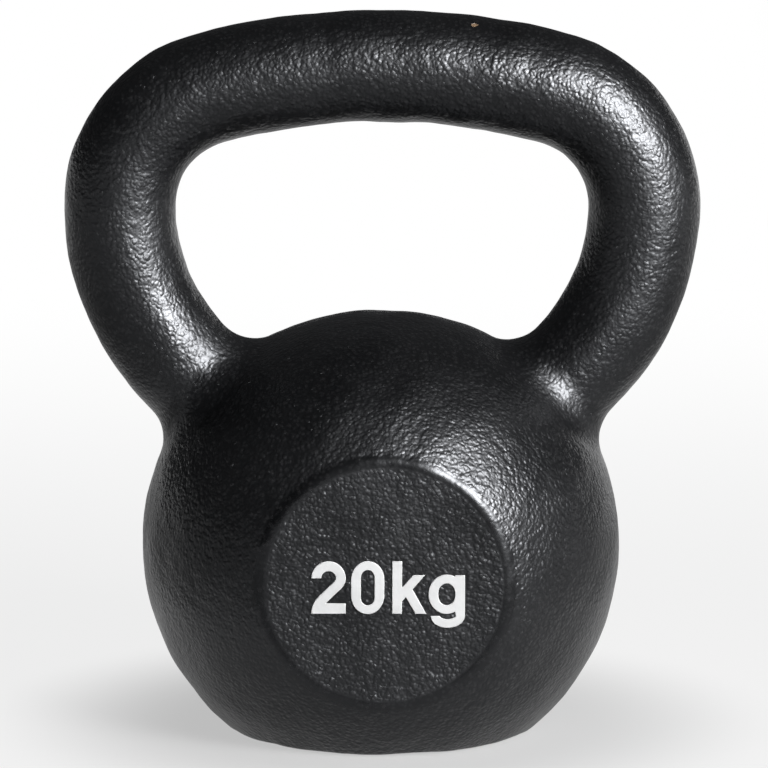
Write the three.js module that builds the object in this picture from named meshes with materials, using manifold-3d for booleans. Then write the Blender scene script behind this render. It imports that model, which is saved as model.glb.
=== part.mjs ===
// Kettlebell, nominal 20 kg: an iron ball with a loop handle set into it and welded round.
// Millimetres, +Z up, front face towards -Y. The origin is the centre of the underside.
// Geometry is built round the centre of the ball, and the whole bell is lifted at the end.
import * as THREE from 'three';
import { LoftGeometry } from 'three/addons/geometries/LoftGeometry.js';
import { mergeVertices } from 'three/addons/utils/BufferGeometryUtils.js';
import Module from 'manifold-3d';

const wasm = await Module();
wasm.setup();

// Ball
const ballRadius = 85;
const crownStart = 40; // height above the centre where the ball starts to flatten
const crownSink = 2.3; // how far its top lies below a true ball's
const baseDrop = 64.8; // ball centre down to the iron rim of the base
const baseEdgeRadius = 4;
const faceDistance = 73; // ball centre to the flat front and back faces
const faceBevel = 2; // how far inside the sharp edge each flat ends and its bevel starts
const ballSegments = 60;
const ballArcSteps = 24;
const edgeArcSteps = 4;

// Handle: a top arc, two corner arcs, two leg arcs and two straight feet
const barRadius = 19.75;
const apexRise = 171.7; // ball centre to the bar's centreline at the top
const gripArcRadius = 239;
const gripHalfAngle = THREE.MathUtils.degToRad(14.6);
const cornerArcRadius = 43.5;
const legArcRadius = 82.6;
const legLean = THREE.MathUtils.degToRad(41.6); // feet against the vertical
const footLength = 34;
const barSides = 28;
const barSteps = 80;

// Welds
const weldRadius = 15.5; // fillet between leg and ball
const weldRise = 0.6; // how far the collar's edges stand off the iron
const weldSteps = 32;
const weldArcPoints = 7;
const weldRoot = 3; // how deep the blank reaches into the iron before it is cut

// Base pad, trim bore and plug, as heights above the underside
const padProud = 0.6;
const padDepth = 3;
const padRadius = 43;
const padChamfer = 0.8;
const boreRadius = 14;
const boreTop = 96;
const plugHeadRadius = 17;
const plugHeadHeight = 4;
const plugHeadChamfer = 1;
const plugShankLength = 14;
const threadPitch = 2;
const threadDepth = 0.8;
const hexAcrossFlats = 12;
const hexDepth = 6;
const washerThickness = 1.5;
const slugRadius = 13.5;
const slugLength = 8; // cut to bring the bell to its nominal weight
const slugChamfer = 1;
const turnedSegments = 36; // of the plug, washer and slug

// Weight mark on the front face
const markThickness = 0.5;
const markGap = 0.1;
const markHeight = 18.6;
const markWaist = 13.7; // height of the small letters
const markDescent = 4.95;
const markStroke = 3.45;
const markThinStroke = 3.1; // at the top and bottom of round strokes
const markOvershoot = 0.12; // of round characters past the lines
const markRoundness = 1.15; // height of an oval's round end against its half width
const markCurveSegments = 9;
const markBandPieces = 32;
const markBaseline = -10; // below the centre of the face
const markStart = -25.4; // left end of the mark from the centre of the face

const fitGap = 0.3; // clearance between pieces that touch
const ballCentreHeight = padProud + baseDrop;

const black = { color: 0x1d1e21, roughness: 0.42, metalness: 0.35 };
const finishes = {
  ball: new THREE.MeshStandardMaterial(black),
  handle: new THREE.MeshStandardMaterial(black),
  weld: new THREE.MeshStandardMaterial({ ...black, roughness: 0.5 }),
  steel: new THREE.MeshStandardMaterial({ color: 0x9c9fa3, roughness: 0.35, metalness: 1 }),
  fibre: new THREE.MeshStandardMaterial({ color: 0x6d2c20, roughness: 0.8, metalness: 0 }),
  rubber: new THREE.MeshStandardMaterial({ color: 0x141414, roughness: 0.9, metalness: 0 }),
  enamel: new THREE.MeshStandardMaterial({ color: 0xf6f7f8, roughness: 0.4, metalness: 0 }),
};

// ---- solids ----

function toSolid(geometry) {
  const bare = new THREE.BufferGeometry().copy(geometry);
  bare.deleteAttribute('normal');
  bare.deleteAttribute('uv');
  const merged = mergeVertices(bare, 1e-4);
  const corners = merged.index.array;
  const kept = [];
  for (let i = 0; i < corners.length; i += 3) {
    const [a, b, c] = corners.slice(i, i + 3);
    if (a !== b && b !== c && c !== a) kept.push(a, b, c);
  }
  const vertProperties = Float32Array.from(merged.attributes.position.array);
  const triVerts = Uint32Array.from(kept);
  return new wasm.Manifold(new wasm.Mesh({ numProp: 3, vertProperties, triVerts }));
}

function toGeometry(solid) {
  const mesh = solid.getMesh();
  const geometry = new THREE.BufferGeometry();
  geometry.setAttribute('position', new THREE.BufferAttribute(mesh.vertProperties, 3));
  geometry.setIndex(new THREE.BufferAttribute(mesh.triVerts, 1));
  geometry.computeVertexNormals();
  return geometry;
}

function cutAll(geometry, cutters) {
  let solid = toSolid(geometry);
  for (const cutter of cutters) solid = solid.subtract(toSolid(cutter));
  return toGeometry(solid);
}

// Points along an arc in a lathe profile: x away from the axis, y up
function arcPoints(centre, radius, from, to, count) {
  const points = [];
  for (let i = 0; i <= count; i += 1) {
    const angle = THREE.MathUtils.lerp(from, to, i / count);
    const out = centre.x + radius * Math.cos(angle);
    points.push(new THREE.Vector2(Math.max(out, 0), centre.y + radius * Math.sin(angle)));
  }
  return points;
}

// A solid of revolution about Z from [radius, height] pairs or vectors
function turned(profile, segments) {
  const points = profile.map((p) => (p.isVector2 ? p : new THREE.Vector2(...p)));
  return new THREE.LatheGeometry(points, segments).rotateX(Math.PI / 2);
}

// Height above the underside, as a height from the ball's centre
const level = (height) => height - ballCentreHeight;

// ---- ball ----

// How far the ball's surface is sunk at a height above its centre
function sinkAt(height) {
  const share = Math.max(0, (height - crownStart) / (ballRadius - crownStart));
  return crownSink * share ** 1.5;
}

function ballArcs(growth) {
  const rise = -baseDrop + baseEdgeRadius;
  const out = Math.sqrt((ballRadius - baseEdgeRadius) ** 2 - rise ** 2);
  const edgeAngle = Math.atan2(rise, out);
  const edge = baseEdgeRadius + growth;
  const radius = ballRadius + growth;
  const round = arcPoints(new THREE.Vector2(0, 0), radius, edgeAngle, Math.PI / 2, ballArcSteps);
  return [
    ...arcPoints(new THREE.Vector2(out, rise), edge, -Math.PI / 2, edgeAngle, edgeArcSteps),
    ...round.slice(1).map((point) => new THREE.Vector2(point.x, point.y - sinkAt(point.y))),
  ];
}

function ballBlank() {
  const plugSeat = level(plugSeatHeight);
  const padRoof = level(padProud + padDepth);
  const headRadius = plugHeadRadius + fitGap;
  const recessRadius = padRadius + fitGap;
  return turned([
    [0, level(boreTop)],
    [boreRadius, level(boreTop)],
    [boreRadius, plugSeat],
    [headRadius, plugSeat],
    [headRadius, padRoof],
    [recessRadius, padRoof],
    [recessRadius, -baseDrop],
    ...ballArcs(0),
  ], ballSegments);
}

// What is cut away in front of a flat face. Its rim flares at half the angle of the sharp edge,
// which leaves a bevel of even slope between the flat and the ball.
function faceCutter(side) {
  const sharpRadius = Math.sqrt(ballRadius ** 2 - faceDistance ** 2);
  const bevelAngle = Math.asin(sharpRadius / ballRadius) / 2;
  const flare = ballRadius - sharpRadius;
  const flareDrop = (flare + faceBevel) * Math.tan(bevelAngle);
  const cup = turned([
    [0, faceDistance],
    [sharpRadius - faceBevel, faceDistance],
    [sharpRadius + flare, faceDistance - flareDrop],
    [sharpRadius + flare, ballRadius],
    [0, ballRadius],
  ], ballSegments);
  return cup.rotateX(side * Math.PI / 2);
}

function socketCutter(side) {
  const reach = footLength + fitGap;
  const cylinder = new THREE.CylinderGeometry(barRadius + fitGap, barRadius + fitGap, reach, barSides);
  const end = legArcEnd();
  const inward = legInward();
  const middle = end.clone().addScaledVector(inward, reach / 2);
  cylinder.rotateZ(-Math.atan2(inward.x, inward.y));
  cylinder.translate(middle.x, middle.y, 0);
  cylinder.rotateX(Math.PI / 2);
  return side > 0 ? cylinder : cylinder.rotateZ(Math.PI);
}

function ballGeometry() {
  return cutAll(ballBlank(), [faceCutter(1), faceCutter(-1), socketCutter(1), socketCutter(-1)]);
}

// ---- handle ----

// The right half of the centreline in the plane of the handle: x to the right, y up
function legArcEnd() {
  const gripEnd = gripArcRadius * Math.sin(gripHalfAngle);
  const gripSink = gripArcRadius * (1 - Math.cos(gripHalfAngle));
  const shoulderX = gripEnd + cornerArcRadius * (1 - Math.sin(gripHalfAngle));
  const shoulderY = apexRise - gripSink - cornerArcRadius * Math.cos(gripHalfAngle);
  return new THREE.Vector2(
    shoulderX - legArcRadius * (1 - Math.cos(legLean)),
    shoulderY - legArcRadius * Math.sin(legLean),
  );
}

function legInward() {
  return new THREE.Vector2(-Math.sin(legLean), -Math.cos(legLean));
}

// The whole centreline, from the left foot over the top to the right foot
class HandleLine extends THREE.Curve {
  constructor() {
    super();
    const gripStart = Math.PI / 2 + gripHalfAngle;
    const gripCentreY = apexRise - gripArcRadius;
    const cornerX = (gripArcRadius - cornerArcRadius) * Math.sin(gripHalfAngle);
    const cornerY = gripCentreY + (gripArcRadius - cornerArcRadius) * Math.cos(gripHalfAngle);
    const legX = cornerX + cornerArcRadius - legArcRadius;
    const arcEnd = legArcEnd();
    const foot = arcEnd.clone().addScaledVector(legInward(), footLength);
    this.line = new THREE.Path();
    this.line.moveTo(-foot.x, foot.y);
    this.line.lineTo(-arcEnd.x, arcEnd.y);
    this.line.absarc(-legX, cornerY, legArcRadius, Math.PI + legLean, Math.PI, true);
    this.line.absarc(-cornerX, cornerY, cornerArcRadius, Math.PI, gripStart, true);
    this.line.absarc(0, gripCentreY, gripArcRadius, gripStart, Math.PI - gripStart, true);
    this.line.absarc(cornerX, cornerY, cornerArcRadius, Math.PI - gripStart, 0, true);
    this.line.absarc(legX, cornerY, legArcRadius, 0, -legLean, true);
    this.line.lineTo(foot.x, foot.y);
  }

  getPoint(t, target = new THREE.Vector3()) {
    const flat = this.line.getPoint(t);
    return target.set(flat.x, 0, flat.y);
  }
}

function barGeometry(radius) {
  const section = new THREE.Shape();
  section.absarc(0, 0, radius, 0, 2 * Math.PI, false);
  return new THREE.ExtrudeGeometry(section, {
    steps: barSteps,
    curveSegments: barSides / 2,
    extrudePath: new HandleLine(),
  });
}

// ---- welds ----

// Distance from the ball's centre to its surface, along a unit direction in space
function ballSurface(direction) {
  return ballRadius - sinkAt(ballRadius * direction.z) * direction.z;
}

// One section of the collar, in the plane through the leg's axis at an angle round it.
// Angle 0 is the hand side. The outline is a hollow arc that meets leg and ball tangentially.
function weldSection(angle) {
  const inward = legInward();
  const outward = new THREE.Vector3(-inward.x, 0, -inward.y);
  const handSide = new THREE.Vector3(inward.y, 0, -inward.x);
  const end = new THREE.Vector3(legArcEnd().x, 0, legArcEnd().y);
  const nearest = end.clone().addScaledVector(outward, -end.dot(outward));
  const across = handSide.clone().multiplyScalar(Math.cos(angle));
  across.y = Math.sin(angle);

  const shift = -nearest.dot(across); // ball centre along the section, from the leg's axis
  const aside = Math.sqrt(Math.max(nearest.lengthSq() - shift ** 2, 0));
  const radial = outward.clone().multiplyScalar(ballRadius)
    .addScaledVector(across, barRadius + weldRadius);
  const local = Math.sqrt(ballSurface(radial.normalize()) ** 2 - aside ** 2);

  const reach = local + weldRise + weldRadius;
  const arcOut = barRadius + weldRise + weldRadius;
  const arcUp = Math.sqrt(reach ** 2 - (arcOut - shift) ** 2);
  const lastAngle = Math.atan2(-arcUp, shift - arcOut) + 2 * Math.PI;
  const outline = [];
  for (let i = 0; i < weldArcPoints; i += 1) {
    const turn = THREE.MathUtils.lerp(Math.PI, lastAngle, i / (weldArcPoints - 1));
    outline.push([arcOut + weldRadius * Math.cos(turn), arcUp + weldRadius * Math.sin(turn)]);
  }
  const sink = (local - weldRoot) / reach;
  outline.push([shift + (arcOut - shift) * sink, arcUp * sink]);
  outline.push([barRadius - weldRoot, arcUp * sink]);
  outline.push([barRadius - weldRoot, arcUp]);
  const place = ([out, up]) => nearest.clone().addScaledVector(across, out).addScaledVector(outward, up);
  return outline.map(place);
}

function weldGeometry(side) {
  const sections = [];
  for (let i = 0; i <= weldSteps; i += 1) {
    sections.push(weldSection(-(i % weldSteps) * 2 * Math.PI / weldSteps));
  }
  const collar = new LoftGeometry(sections);
  const grownBall = turned([[0, -baseDrop - fitGap], ...ballArcs(fitGap)], ballSegments);
  const cleaned = cutAll(collar, [grownBall, barGeometry(barRadius + fitGap)]);
  return side > 0 ? cleaned : cleaned.rotateZ(Math.PI);
}

// ---- base pad, plug, washer and slug ----

const plugHeadFloor = padProud + padDepth + fitGap;
const plugHeadTop = plugHeadFloor + plugHeadHeight;
const plugSeatHeight = plugHeadTop + washerThickness + 2 * fitGap;
const plugTop = plugHeadTop + plugShankLength;

function padGeometry() {
  return turned([
    [0, level(0)],
    [padRadius - padChamfer, level(0)],
    [padRadius, level(padChamfer)],
    [padRadius, level(padProud + padDepth - fitGap)],
    [0, level(padProud + padDepth - fitGap)],
  ], ballSegments);
}

function plugGeometry() {
  const crest = boreRadius - fitGap;
  const root = crest - threadDepth;
  const profile = [
    [0, level(plugHeadFloor)],
    [plugHeadRadius - plugHeadChamfer, level(plugHeadFloor)],
    [plugHeadRadius, level(plugHeadFloor + plugHeadChamfer)],
    [plugHeadRadius, level(plugHeadTop)],
    [root, level(plugHeadTop)],
  ];
  for (let height = plugHeadTop + threadPitch; height < plugTop - threadPitch; height += threadPitch) {
    profile.push([root, level(height)]);
    profile.push([crest, level(height + threadPitch / 2)]);
  }
  profile.push([root, level(plugTop)]);
  profile.push([0, level(plugTop)]);
  const hexCorner = hexAcrossFlats / 2 / Math.cos(Math.PI / 6);
  const socket = new THREE.CylinderGeometry(hexCorner, hexCorner, hexDepth * 2, 6);
  socket.rotateX(Math.PI / 2);
  socket.translate(0, 0, level(plugHeadFloor));
  return cutAll(turned(profile, turnedSegments), [socket]);
}

function washerGeometry() {
  const low = level(plugHeadTop + fitGap);
  const high = low + washerThickness;
  return turned([
    [boreRadius + fitGap, high],
    [boreRadius + fitGap, low],
    [plugHeadRadius, low],
    [plugHeadRadius, high],
    [boreRadius + fitGap, high],
  ], turnedSegments);
}

function slugGeometry() {
  const low = level(plugTop + fitGap);
  const high = low + slugLength;
  return turned([
    [0, low],
    [slugRadius - slugChamfer, low],
    [slugRadius, low + slugChamfer],
    [slugRadius, high - slugChamfer],
    [slugRadius - slugChamfer, high],
    [0, high],
  ], turnedSegments);
}

// ---- weight mark: four characters in an even bold stroke, x to the right and y up ----

function extruded(shape) {
  return toSolid(new THREE.ExtrudeGeometry(shape, {
    depth: markThickness,
    bevelEnabled: false,
    curveSegments: markCurveSegments,
  }));
}

function polygon(corners) {
  return extruded(new THREE.Shape(corners.map((corner) => new THREE.Vector2(...corner))));
}

// A band of even width along a path
function band(path, width) {
  const left = [];
  const right = [];
  for (let i = 0; i <= markBandPieces; i += 1) {
    const point = path.getPoint(i / markBandPieces);
    const along = path.getTangent(i / markBandPieces);
    const normal = new THREE.Vector2(-along.y, along.x);
    left.push(point.clone().addScaledVector(normal, width / 2));
    right.unshift(point.clone().addScaledVector(normal, -width / 2));
  }
  return extruded(new THREE.Shape([...left, ...right]));
}

// An oval with straight sides and half-round ends, as tall as from low to high
function oval(target, centreX, low, high, halfWidth) {
  const cap = Math.min((high - low) / 2, halfWidth * markRoundness);
  target.absellipse(centreX, low + cap, halfWidth, cap, Math.PI, 2 * Math.PI, false);
  target.absellipse(centreX, high - cap, halfWidth, cap, 0, Math.PI, false);
  return target;
}

function ovalRing(low, high, width) {
  const outline = oval(new THREE.Shape(), width / 2, low, high, width / 2);
  const eyeLow = low + markThinStroke;
  const eyeHigh = high - markThinStroke;
  outline.holes.push(oval(new THREE.Path(), width / 2, eyeLow, eyeHigh, width / 2 - markStroke));
  return extruded(outline);
}

function markTwo() {
  const width = 12;
  const radius = (width - markStroke) / 2;
  const crown = new THREE.Path();
  const crownY = markHeight - markStroke / 2 - radius;
  crown.absellipse(width / 2, crownY, radius, radius, Math.PI, -Math.PI / 18, true);
  crown.quadraticCurveTo(10, 10.8, 8, 9.05);
  crown.lineTo(4, 5.15);
  crown.quadraticCurveTo(2.2, 3.4, 1.8, 1);
  const footHigh = 3.7;
  const foot = polygon([[0, 0], [width, 0], [width, footHigh], [3.2, footHigh], [0.1, 1.3]]);
  return band(crown, markStroke).add(foot);
}

function markZero() {
  return ovalRing(-markOvershoot, markHeight + markOvershoot, 11.6);
}

function markK() {
  const stem = polygon([[0, 0], [markStroke, 0], [markStroke, markHeight], [0, markHeight]]);
  const arm = polygon([[3, 8.7], [3, 3.85], [11.4, markWaist], [7.3, markWaist]]);
  const leg = polygon([[4.3, 6.7], [8.1, 0], [11.9, 0], [6.6, 9.5], [5, 7.5]]);
  return stem.add(arm).add(leg);
}

function markG() {
  const width = 12.7;
  const bowl = ovalRing(0, markWaist + 2 * markOvershoot, width);
  const stemLeft = width - markStroke;
  const hookLeft = width - markThinStroke;
  const hookTop = -0.7;
  const stem = polygon([
    [stemLeft, 0.4], [hookLeft, hookTop], [width, hookTop], [width, markWaist], [stemLeft, markWaist],
  ]);
  const hookReach = 4.4;
  const hookDrop = markDescent - markThinStroke / 2 + hookTop;
  const hookX = width - markThinStroke / 2;
  const hook = new THREE.Path();
  hook.moveTo(hookX, 0);
  hook.lineTo(hookX, hookTop);
  hook.absellipse(hookX - hookReach, hookTop, hookReach, hookDrop, 0, -Math.PI, true);
  return bowl.add(stem).add(band(hook, markThinStroke));
}

// Stands a character up on the front face, with its left end at a place along the mark
function onFace(solid, place) {
  const geometry = toGeometry(solid);
  geometry.translate(markStart + place, markBaseline, 0);
  geometry.rotateX(Math.PI / 2);
  return geometry.translate(0, -faceDistance - markGap, 0);
}

// ---- assembly ----

const bell = new THREE.Group();
bell.position.z = ballCentreHeight;

function addPiece(name, geometry, finish) {
  const mesh = new THREE.Mesh(geometry, finish);
  mesh.name = name;
  bell.add(mesh);
}

addPiece('ball', ballGeometry(), finishes.ball);
addPiece('handle', barGeometry(barRadius), finishes.handle);
addPiece('left_weld', weldGeometry(-1), finishes.weld);
addPiece('right_weld', weldGeometry(1), finishes.weld);
addPiece('trim_slug', slugGeometry(), finishes.steel);
addPiece('trim_plug', plugGeometry(), finishes.steel);
addPiece('plug_washer', washerGeometry(), finishes.fibre);
addPiece('base_pad', padGeometry(), finishes.rubber);
addPiece('mark_2', onFace(markTwo(), 0), finishes.enamel);
addPiece('mark_0', onFace(markZero(), 13.8), finishes.enamel);
addPiece('mark_k', onFace(markK(), 28.1), finishes.enamel);
addPiece('mark_g', onFace(markG(), 40.7), finishes.enamel);

const kettlebell = new THREE.Group();
kettlebell.add(bell);

export default kettlebell;
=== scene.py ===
import math

import bpy
import numpy as np
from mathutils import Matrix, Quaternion, Vector
from mathutils.geometry import delaunay_2d_cdt
from mathutils.kdtree import KDTree


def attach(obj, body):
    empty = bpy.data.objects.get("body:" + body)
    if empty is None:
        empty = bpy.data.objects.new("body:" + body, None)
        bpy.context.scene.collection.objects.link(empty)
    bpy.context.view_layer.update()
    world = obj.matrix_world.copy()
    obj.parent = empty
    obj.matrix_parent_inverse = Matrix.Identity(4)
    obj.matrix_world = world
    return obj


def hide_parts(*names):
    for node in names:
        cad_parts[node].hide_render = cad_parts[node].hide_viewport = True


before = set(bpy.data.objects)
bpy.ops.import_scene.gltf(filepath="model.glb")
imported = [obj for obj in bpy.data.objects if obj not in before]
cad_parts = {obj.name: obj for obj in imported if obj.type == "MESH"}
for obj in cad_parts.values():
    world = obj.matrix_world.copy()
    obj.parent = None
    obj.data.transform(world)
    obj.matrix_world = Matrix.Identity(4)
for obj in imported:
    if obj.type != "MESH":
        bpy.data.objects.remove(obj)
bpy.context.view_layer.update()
print("frame loaded:", len(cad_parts), "nodes")

casting = {
    "radius": 85.0,
    "crownStart": 40.0,  # height where the ball starts to flatten towards its top
    "crownSink": 2.3,
    "crownBend": 1.5,  # how slowly the flattening sets in
    "crownLimit": 1.3,  # no more of it than this, for points that are still off the ball
    "baseDrop": 64.8,
    "baseEdge": 4.0,
    "faceDistance": 73.0,  # to the flat front and back faces
    "faceEdge": 6.0,
    "lift": 65.4,  # middle of the ball above the floor
    "settleSteps": 14,  # that bring a point onto the ball
    "probe": 0.02,  # how far apart the ball's slope is felt
    "spacing": 1.5,  # of the ball's mesh points
    "rowShare": 0.866,  # of the spacing, between two rows of a triangle lattice
    "clearing": 0.72,  # round each ring of points, as a share of the spacing
    "ringPoints": 240,  # round each flat face and the base
    "edgeRings": 6,  # over each rounded edge
    "edgeGaps": (1.1, 2.6),  # from a rounded edge to the first rings beside it
}
loop = {
    "bar": 19.75,
    "apex": 171.7,
    "gripArc": 239.0,
    "gripHalf": math.radians(14.6),
    "cornerArc": 43.5,
    "legArc": 82.6,
    "lean": math.radians(41.6),
    "foot": 34.0,
    "around": 108,  # mesh points round the bar
    "step": 1.15,  # between two rings of the bar
    "endRows": 8,  # rings that even out each slanting end
    "endEase": 1.2,  # how much closer they lie at the seam
    "squareGap": 1.0,  # from the last slanting ring to the leg's bend
    # Hidden rows below the seam, as depth under the skin and drop from the seam, and at the
    # foot, as depth and height above its end
    "hiddenRows": ((0.2, 0.3), (0.3, 3.0), (0.3, 9.0)),
    "footRows": ((0.3, 1.5), (1.8, 0.0), (9.0, 0.0)),
}
weld = {
    "fillet": 15.5,  # radius of the hollow between leg and ball
    "arcSteps": 12,
    # Hidden rows on the ball, as share of the way in and depth under its skin, then rows on the
    # bar, as drop below the collar's upper edge
    "landRows": ((0.1, 0.1), (0.5, 0.15), (None, 0.15)),
    "barDrops": (5.0, 1.0),
    "barDepth": 0.1,
}
legSocket = {
    "gap": 0.3,  # round the leg and below its foot
    "landRows": ((0.06, 0.25), (0.3, 0.4), (0.6, 0.4), (None, 0.4)),  # like the weld's
    "wallMiddle": 76.0,  # height of a ring halfway down the wall
    "corner": 0.2,
    "floorRing": 12.0,
    "above": 40.0,  # both sockets lie higher up the leg's axis than this
}
castWaves = {
    "seed": 20,
    "long": (14, 16.0, 34.0, 0.045),  # count, shortest and longest wave, height of each
    "short": (26, 5.0, 9.0, 0.0085),
}


# How the casting's skin is worked out
def unit(v):
    return v / np.linalg.norm(v, axis=-1, keepdims=True)


def sunk(points):
    # The ball is a true one in these coordinates: near the top it lies a little lower
    share = np.clip((points[:, 2] - casting["crownStart"])
                    / (casting["radius"] - casting["crownStart"]), 0, casting["crownLimit"])
    out = points.copy()
    out[:, 2] += casting["crownSink"] * share ** casting["crownBend"]
    return out


def cutDistance(points, axis, depth, edge):
    # Distance from a ball that is cut flat at a depth along an axis, with a rounded edge
    ballR = casting["radius"]
    high = points @ np.array(axis, float)
    out = np.sqrt(np.maximum((points ** 2).sum(1) - high ** 2, 0))
    centreHigh = depth - edge
    centreOut = math.sqrt((ballR - edge) ** 2 - centreHigh ** 2)
    vOut, vHigh = out - centreOut, high - centreHigh
    onEdge = (vOut >= 0) & (vHigh * centreOut >= vOut * centreHigh)
    flat = np.maximum(np.sqrt(out ** 2 + high ** 2) - ballR, high - depth)
    return np.where(onEdge, np.hypot(vOut, vHigh) - edge, flat)


# Front, back and base: the axis, depth and edge of each cut
cuts = (((0, -1.0, 0), casting["faceDistance"], casting["faceEdge"]),
        ((0, 1.0, 0), casting["faceDistance"], casting["faceEdge"]),
        ((0, 0, -1.0), casting["baseDrop"], casting["baseEdge"]))


def ballDistance(points):
    place = sunk(points)
    return np.max([cutDistance(place, *cut) for cut in cuts], axis=0)


def onBall(directions):
    # Where each direction from the middle of the ball meets its surface
    reach = np.full(len(directions), casting["radius"])
    for _ in range(casting["settleSteps"]):
        reach -= ballDistance(directions * reach[:, None])
    return directions * reach[:, None]


def ballNormals(points):
    slope = np.stack([ballDistance(points + step) - ballDistance(points - step)
                      for step in np.eye(3) * casting["probe"]], axis=1)
    return unit(slope)


def waveSet():
    rng = np.random.default_rng(castWaves["seed"])
    waves = []
    for count, short, long, height in (castWaves["long"], castWaves["short"]):
        turn = unit(rng.normal(size=(count, 3)))
        length = rng.uniform(short, long, count)
        start = rng.uniform(0, 2 * math.pi, count)
        waves.append((turn * (2 * math.pi / length)[:, None], start, np.full(count, height)))
    return [np.concatenate(part) for part in zip(*waves)]


waveTurns, wavePhases, waveHeights = waveSet()


def roughCast(points, normals):
    # The uneven skin that sand casting and thick enamel leave: moves points along their
    # normals, and tilts the normals to match
    phase = points @ waveTurns.T + wavePhases
    lift = (np.sin(phase) * waveHeights).sum(1)
    slope = (np.cos(phase) * waveHeights) @ waveTurns
    slope -= normals * (slope * normals).sum(1, keepdims=True)
    return points + normals * lift[:, None], unit(normals - slope)


def underSkin(points, normals, depth):
    # Rows that lie hidden under the skin: they follow its unevenness, a little deeper
    return roughCast(points, normals)[0] - normals * depth


# What every piece's mesh is made with
def gridFaces(rows, columns, wrapRows=False):
    # Quads of a grid whose rows close on themselves
    r = np.arange(rows if wrapRows else rows - 1)[:, None] * columns
    nextR = (r + columns) % (rows * columns)
    c = np.arange(columns)[None, :]
    nextC = (c + 1) % columns
    quads = np.stack([r + c, r + nextC, nextR + nextC, nextR + c], axis=-1)
    return quads.reshape(-1, 4).tolist()


def vertexNormals(points, faces):
    total = np.zeros_like(points)
    for size in {len(face) for face in faces}:
        corners = np.array([face for face in faces if len(face) == size])
        if size > 4:
            continue  # only the flats of the weight mark
        a, b, c = points[corners[:, 0]], points[corners[:, 1]], points[corners[:, 2]]
        d = points[corners[:, -1]]
        area = np.cross(b - a, c - a) if size == 3 else np.cross(c - a, d - b)
        for k in range(size):
            np.add.at(total, corners[:, k], area)
    length = np.linalg.norm(total, axis=1, keepdims=True)
    return total / np.maximum(length, 1e-9)


def outwardShell(points, faces, skinNormals):
    # Turns the faces outwards. The skin's points come first, and keep normals of their own.
    normals = vertexNormals(points, faces)
    if (normals[:len(skinNormals)] * skinNormals).sum() < 0:
        faces = [face[::-1] for face in faces]
        normals = -normals
    normals[:len(skinNormals)] = skinNormals
    return faces, normals


class Shell:
    # A mesh that grows ring by ring from its skin
    def __init__(self, points, faces):
        self.points, self.faces, self.total = [points], faces, len(points)

    def close(self, last, rings, end, turned=False):
        # Goes on from a loop of the skin over rings of points, and closes them at one point
        for ring in rings:
            self.points.append(ring)
            now = list(range(self.total, self.total + len(ring)))
            self.total += len(ring)
            for i in range(len(ring)):
                j = (i + 1) % len(ring)
                self.addFace([last[i], last[j], now[j], now[i]], turned)
            last = now
        self.points.append(end[None])
        for i in range(len(last)):
            self.addFace([last[i], last[(i + 1) % len(last)], self.total], turned)
        self.total += 1

    def addFace(self, face, turned):
        self.faces.append(face[::-1] if turned else face)


def makePiece(name, points, faces, normals, material):
    mesh = bpy.data.meshes.new(name)
    place = (points + np.array([0, 0, casting["lift"]])) / 1000
    mesh.from_pydata(place.tolist(), [], faces)
    mesh.polygons.foreach_set("use_smooth", [True] * len(mesh.polygons))
    mesh.update()
    mesh.normals_split_custom_set_from_vertices(normals.tolist())
    mesh.materials.append(material)
    piece = bpy.data.objects.new(name, mesh)
    bpy.context.collection.objects.link(piece)
    return piece


def stand(piece, node):
    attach(piece, "root")
    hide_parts(node)
    return piece


# Where the legs stand in the ball
gripMiddle = np.array([0, loop["apex"] - loop["gripArc"]])
cornerMiddle = gripMiddle + (loop["gripArc"] - loop["cornerArc"]) * np.array(
    [math.sin(loop["gripHalf"]), math.cos(loop["gripHalf"])])
legMiddle = cornerMiddle - [loop["legArc"] - loop["cornerArc"], 0]
legEnd = legMiddle + loop["legArc"] * np.array([math.cos(loop["lean"]), -math.sin(loop["lean"])])
legAxis = np.array([math.sin(loop["lean"]), 0, math.cos(loop["lean"])])  # up the right leg
handWay = np.array([-math.cos(loop["lean"]), 0, math.sin(loop["lean"])])
legEnd3 = np.array([legEnd[0], 0, legEnd[1]])
legTop = float(legEnd3 @ legAxis)  # height up the leg where it starts to bend
legFoot = legTop - loop["foot"]
axisNearest = legEnd3 - legTop * legAxis  # the leg's axis where it passes the ball's middle


class WeldSection:
    # The plane through the right leg's axis at an angle round it. Angle 0 is the hand side.
    def __init__(self, angle):
        self.across = math.cos(angle) * handWay + math.sin(angle) * np.array([0, 1.0, 0])
        self.fillet = weld["fillet"]
        self.shift = float(-axisNearest @ self.across)
        aside = math.sqrt(max(float(axisNearest @ axisNearest) - self.shift ** 2, 0))
        toward = unit(legAxis * casting["radius"] + self.across * (loop["bar"] + self.fillet))
        reach = float(np.linalg.norm(onBall(toward[None])[0]))
        self.local = math.sqrt(reach ** 2 - aside ** 2)
        self.arcOut = loop["bar"] + self.fillet
        self.arcUp = math.sqrt((self.local + self.fillet) ** 2 - (self.arcOut - self.shift) ** 2)
        self.lastTurn = math.atan2(-self.arcUp, self.shift - self.arcOut) + 2 * math.pi

    def place(self, out, up):
        return axisNearest + self.across * out + legAxis * up

    def arc(self, share):
        # Out and up along the fillet, from the bar at 0 to the ball at 1
        turn = math.pi + (self.lastTurn - math.pi) * share
        return (self.arcOut + self.fillet * math.cos(turn),
                self.arcUp + self.fillet * math.sin(turn))

    def land(self, share, wall):
        # On the ball under the collar: a share of the way in from its edge, or at the wall
        out = self.arc(1)[0]
        outNow = wall if share is None else out + (wall - out) * share
        guess = self.place(outNow, math.sqrt(self.local ** 2 - (outNow - self.shift) ** 2))
        return onBall(unit(guess)[None])[0]


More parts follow.
